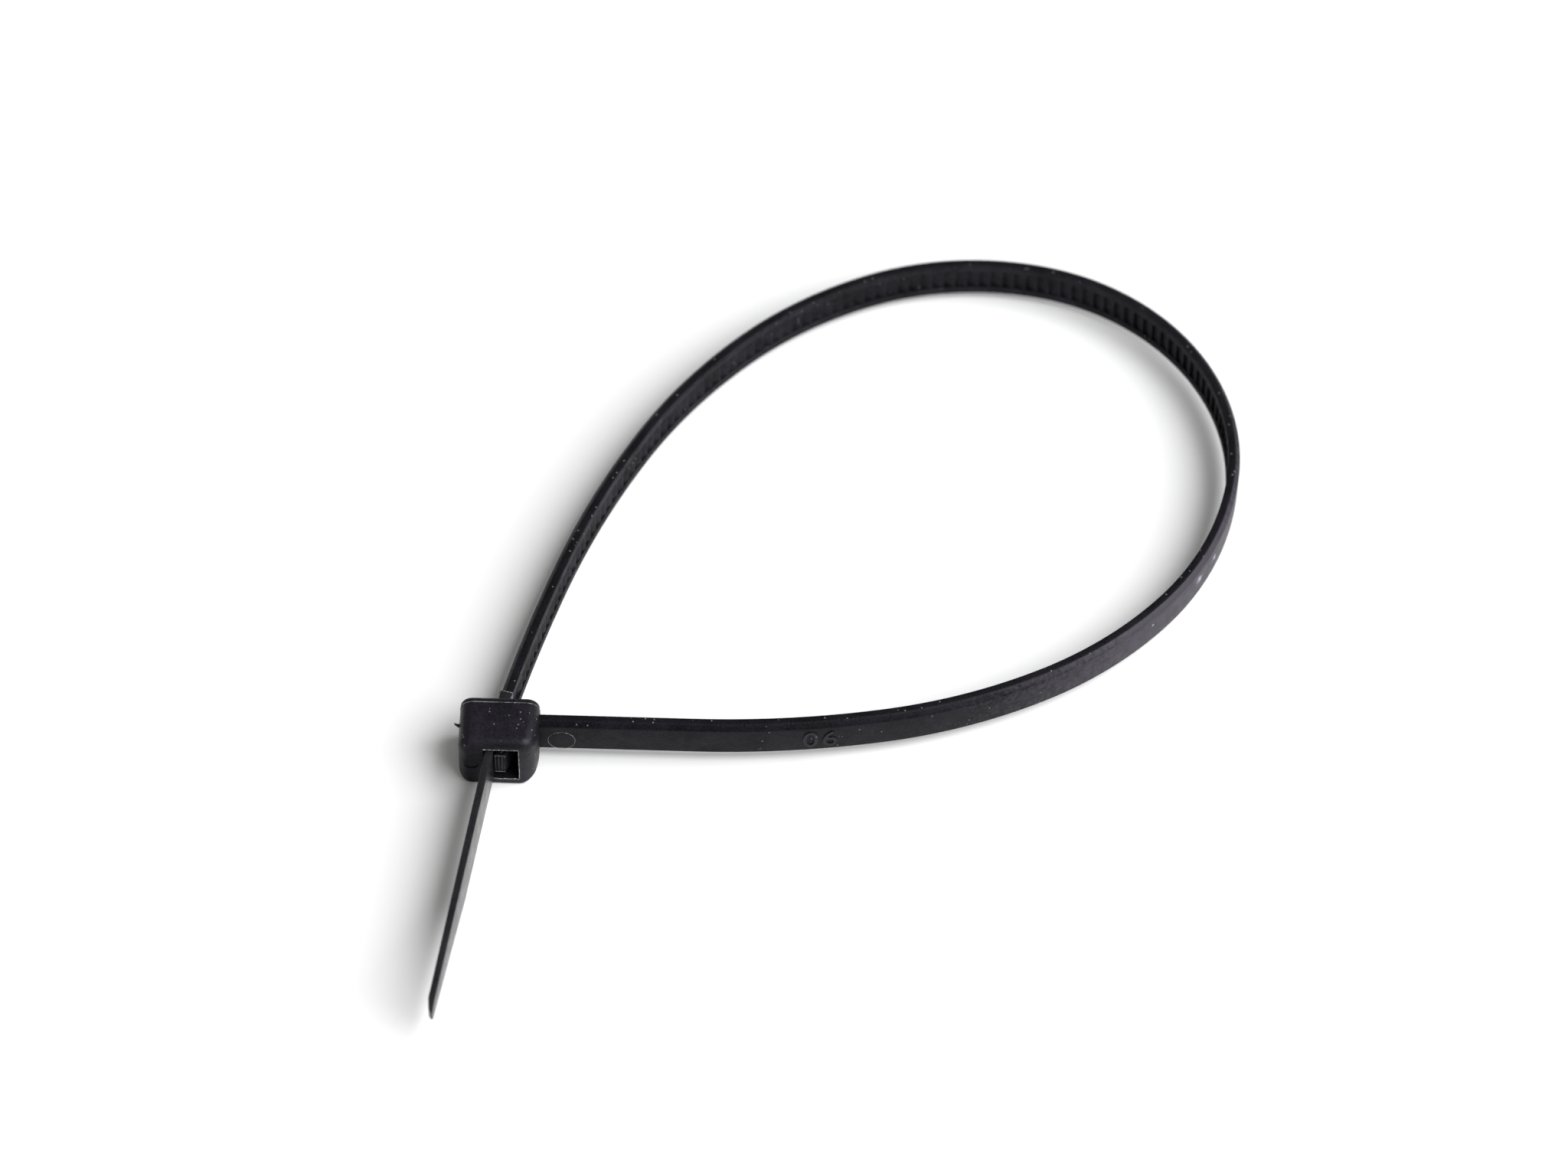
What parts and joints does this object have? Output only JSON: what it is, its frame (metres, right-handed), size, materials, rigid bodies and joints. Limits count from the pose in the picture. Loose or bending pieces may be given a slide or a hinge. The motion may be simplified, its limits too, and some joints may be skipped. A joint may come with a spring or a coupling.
{
  "type": "cable tie",
  "caption": "Black nylon cable tie with a toothed strap, closed through its ratchet head into an open loop with a short smooth tail.",
  "frame": {"origin": "middle of the head's underside, where the tie rests on its edge", "axes": "+Z across the strap's width, up; +X from the head along the strap's root; +Y from the head into the loop"},
  "size_m": [0.0645, 0.0786, 0.0053],
  "materials": {
    "nylon": "moulded black nylon, satin"
  },
  "bodies": {
    "root": {"cable_tie": "nylon"}
  },
  "joints": []
}
